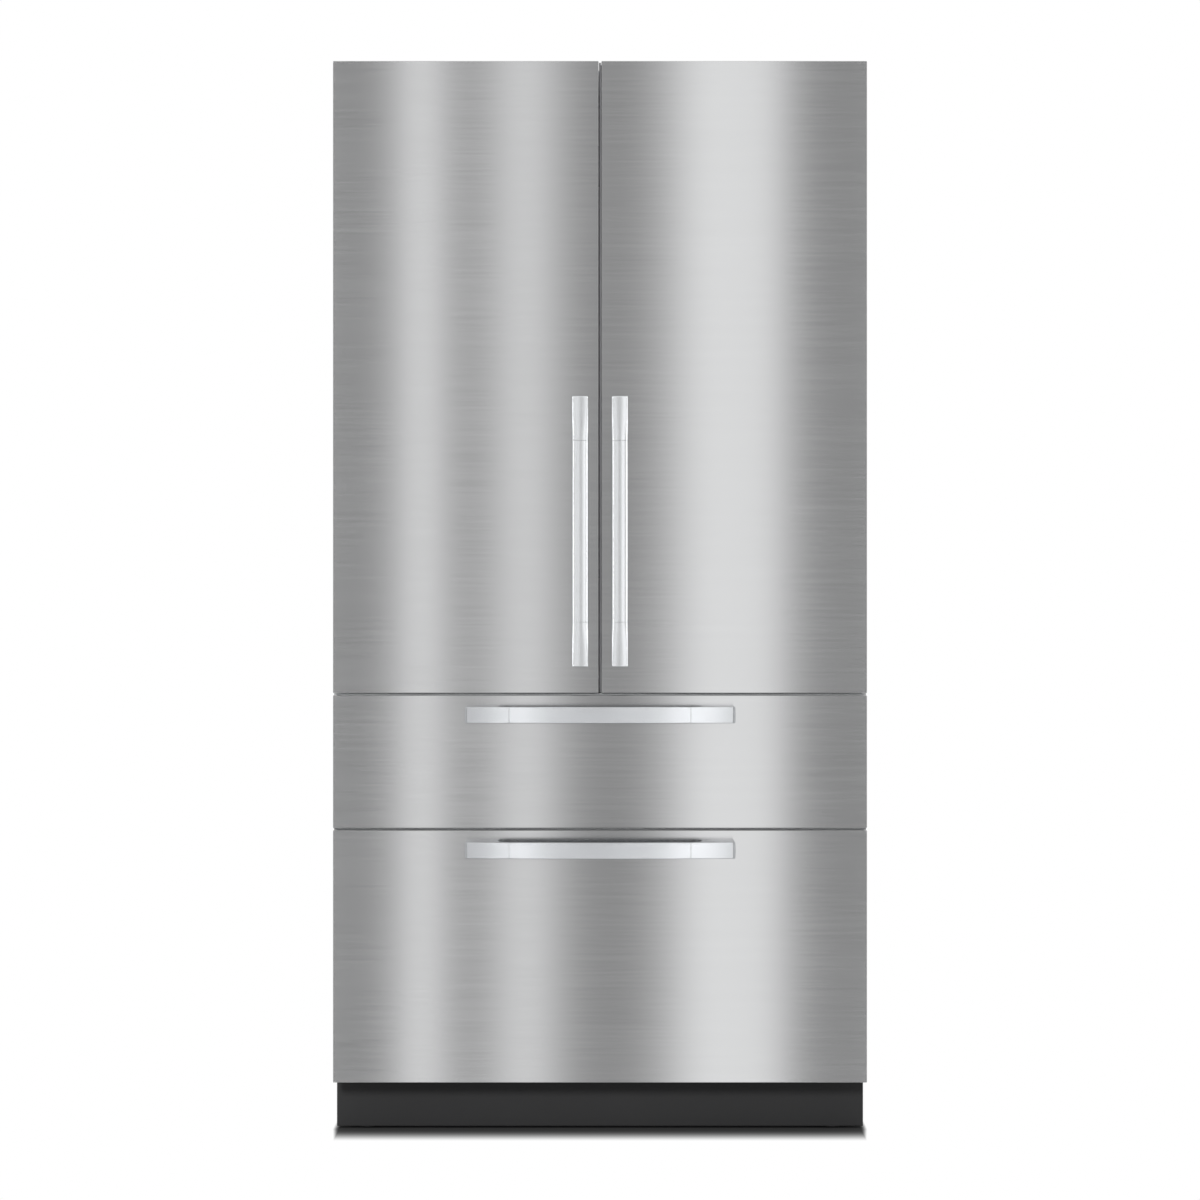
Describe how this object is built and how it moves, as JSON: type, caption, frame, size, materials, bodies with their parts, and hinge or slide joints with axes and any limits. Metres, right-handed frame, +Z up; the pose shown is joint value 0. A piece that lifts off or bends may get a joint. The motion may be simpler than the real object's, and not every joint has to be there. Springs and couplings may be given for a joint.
{
  "type": "built-in french door refrigerator",
  "caption": "Tall built-in refrigerator with paired upper doors, wide drawers below, brushed steel panels, bowed bar handles and a recessed plain toe kick.",
  "frame": {"origin": "floor level, midway across the width and midway through the whole depth including the handles", "axes": "+Z up, +Y towards the back, doors and drawers open towards -Y, +X towards the right when seen from the front"},
  "size_m": [1.06, 0.67, 2.134],
  "materials": {
    "stainless": "fine horizontal brushing",
    "handle_metal": "satin",
    "cabinet_steel": "satin grey coat",
    "zinc_steel": "zinc plated sheet",
    "charcoal": "matte charcoal coat",
    "foam": "closed cell foam skin",
    "liner_white": "moulded white",
    "body_grey": "moulded grey",
    "gasket_grey": "soft vinyl",
    "clear_bin": "clear moulded",
    "glass": "tempered pane",
    "black_plastic": "moulded black",
    "aluminium": "thin finned sheet",
    "black_steel": "semi gloss black",
    "light_diffuser": "frosted",
    "shelf_trim": "satin trim"
  },
  "bodies": {
    "cabinet": {"cabinet_wrapper": "cabinet_steel", "foam_insulation": "foam", "face_rails": "cabinet_steel", "fridge_liner": "liner_white", "drawer_liners": "liner_white", "base_frame": "zinc_steel", "toe_kick": "charcoal", "hinge_brackets": "zinc_steel", "slide_outer_members": "zinc_steel", "shelf_frames": "shelf_trim", "shelf_glass": "glass", "shelf_tracks": "shelf_trim", "fridge_air_cover": "liner_white", "fridge_evaporator": "aluminium", "freezer_air_cover": "liner_white", "freezer_evaporator": "aluminium", "compressor": "black_steel", "condenser": "aluminium", "drain_pan": "black_plastic", "machine_cover": "zinc_steel", "water_valve": "black_plastic", "power_inlet": "black_plastic", "light_bars": "light_diffuser", "control_panel": "black_plastic"},
    "left_door": {"left_door_panel": "stainless", "left_door_body": "body_grey", "left_door_liner": "liner_white", "left_door_gasket": "gasket_grey", "left_door_bins": "clear_bin", "left_door_handle": "handle_metal"},
    "right_door": {"right_door_panel": "stainless", "right_door_body": "body_grey", "right_door_liner": "liner_white", "right_door_gasket": "gasket_grey", "right_door_bins": "clear_bin", "right_door_handle": "handle_metal"},
    "mullion": {"flip_mullion": "body_grey"},
    "upper_drawer": {"upper_drawer_panel": "stainless", "upper_drawer_front": "body_grey", "upper_drawer_gasket": "gasket_grey", "upper_drawer_handle": "handle_metal", "upper_drawer_frame": "zinc_steel", "upper_drawer_bin": "liner_white"},
    "lower_drawer": {"lower_drawer_panel": "stainless", "lower_drawer_front": "body_grey", "lower_drawer_gasket": "gasket_grey", "lower_drawer_handle": "handle_metal", "lower_drawer_frame": "zinc_steel", "freezer_bin": "liner_white"},
    "upper_slide_middle": {"upper_slide_middles": "zinc_steel"},
    "lower_slide_middle": {"lower_slide_middles": "zinc_steel"},
    "tray": {"freezer_tray": "liner_white"},
    "left_crisper": {"crisper_left": "clear_bin"},
    "right_crisper": {"crisper_right": "clear_bin"},
    "condenser_rotor": {"condenser_fan": "black_plastic"},
    "fridge_rotor": {"fridge_fan": "black_plastic"},
    "freezer_rotor": {"freezer_fan": "black_plastic"},
    "rollers": {"rear_rollers": "black_plastic"},
    "left_leg": {"levelling_leg_left": "zinc_steel"},
    "right_leg": {"levelling_leg_right": "zinc_steel"}
  },
  "joints": [
    {"name": "left_door_hinge", "type": "hinge", "parent": "cabinet", "child": "left_door", "pos_m": [-0.512, -0.235, 1.5], "axis": [0, 0, -1], "range_deg": [0, 110]},
    {"name": "right_door_hinge", "type": "hinge", "parent": "cabinet", "child": "right_door", "pos_m": [0.512, -0.235, 1.5], "axis": [0, 0, 1], "range_deg": [0, 110]},
    {"name": "mullion_flip", "type": "hinge", "parent": "left_door", "child": "mullion", "pos_m": [-0.033, -0.182, 1.5], "axis": [0, 0, -1], "range_deg": [0, 90]},
    {"name": "upper_drawer_slide", "type": "slide", "parent": "cabinet", "child": "upper_drawer", "axis": [0, -1, 0], "range_m": [0, 0.4]},
    {"name": "lower_drawer_slide", "type": "slide", "parent": "cabinet", "child": "lower_drawer", "axis": [0, -1, 0], "range_m": [0, 0.4]},
    {"name": "upper_middle_slide", "type": "slide", "parent": "cabinet", "child": "upper_slide_middle", "axis": [0, -1, 0], "range_m": [0, 0.2]},
    {"name": "lower_middle_slide", "type": "slide", "parent": "cabinet", "child": "lower_slide_middle", "axis": [0, -1, 0], "range_m": [0, 0.2]},
    {"name": "tray_slide", "type": "slide", "parent": "lower_drawer", "child": "tray", "axis": [0, 1, 0], "range_m": [0, 0.095]},
    {"name": "left_crisper_slide", "type": "slide", "parent": "cabinet", "child": "left_crisper", "axis": [0, -1, 0], "range_m": [0, 0.055]},
    {"name": "right_crisper_slide", "type": "slide", "parent": "cabinet", "child": "right_crisper", "axis": [0, -1, 0], "range_m": [0, 0.055]},
    {"name": "condenser_fan_spin", "type": "hinge", "parent": "cabinet", "child": "condenser_rotor", "pos_m": [0.12, 0.2395, 0.154], "axis": [1, 0, 0], "continuous": true},
    {"name": "fridge_fan_spin", "type": "hinge", "parent": "cabinet", "child": "fridge_rotor", "pos_m": [0, 0.2081, 2.004], "axis": [0, 1, 0], "continuous": true},
    {"name": "freezer_fan_spin", "type": "hinge", "parent": "cabinet", "child": "freezer_rotor", "pos_m": [0, 0.2171, 0.465], "axis": [0, 1, 0], "continuous": true},
    {"name": "roller_spin", "type": "hinge", "parent": "cabinet", "child": "rollers", "pos_m": [0, 0.29, 0.022], "axis": [1, 0, 0], "continuous": true},
    {"name": "left_leg_screw", "type": "slide", "parent": "cabinet", "child": "left_leg", "axis": [0, 0, 1], "range_m": [-0.01, 0.015]},
    {"name": "right_leg_screw", "type": "slide", "parent": "cabinet", "child": "right_leg", "axis": [0, 0, 1], "range_m": [-0.01, 0.015]}
  ],
  "couplings": [
    {"joint": "upper_middle_slide", "follows": "upper_drawer_slide", "ratio": 0.5},
    {"joint": "lower_middle_slide", "follows": "lower_drawer_slide", "ratio": 0.5}
  ]
}
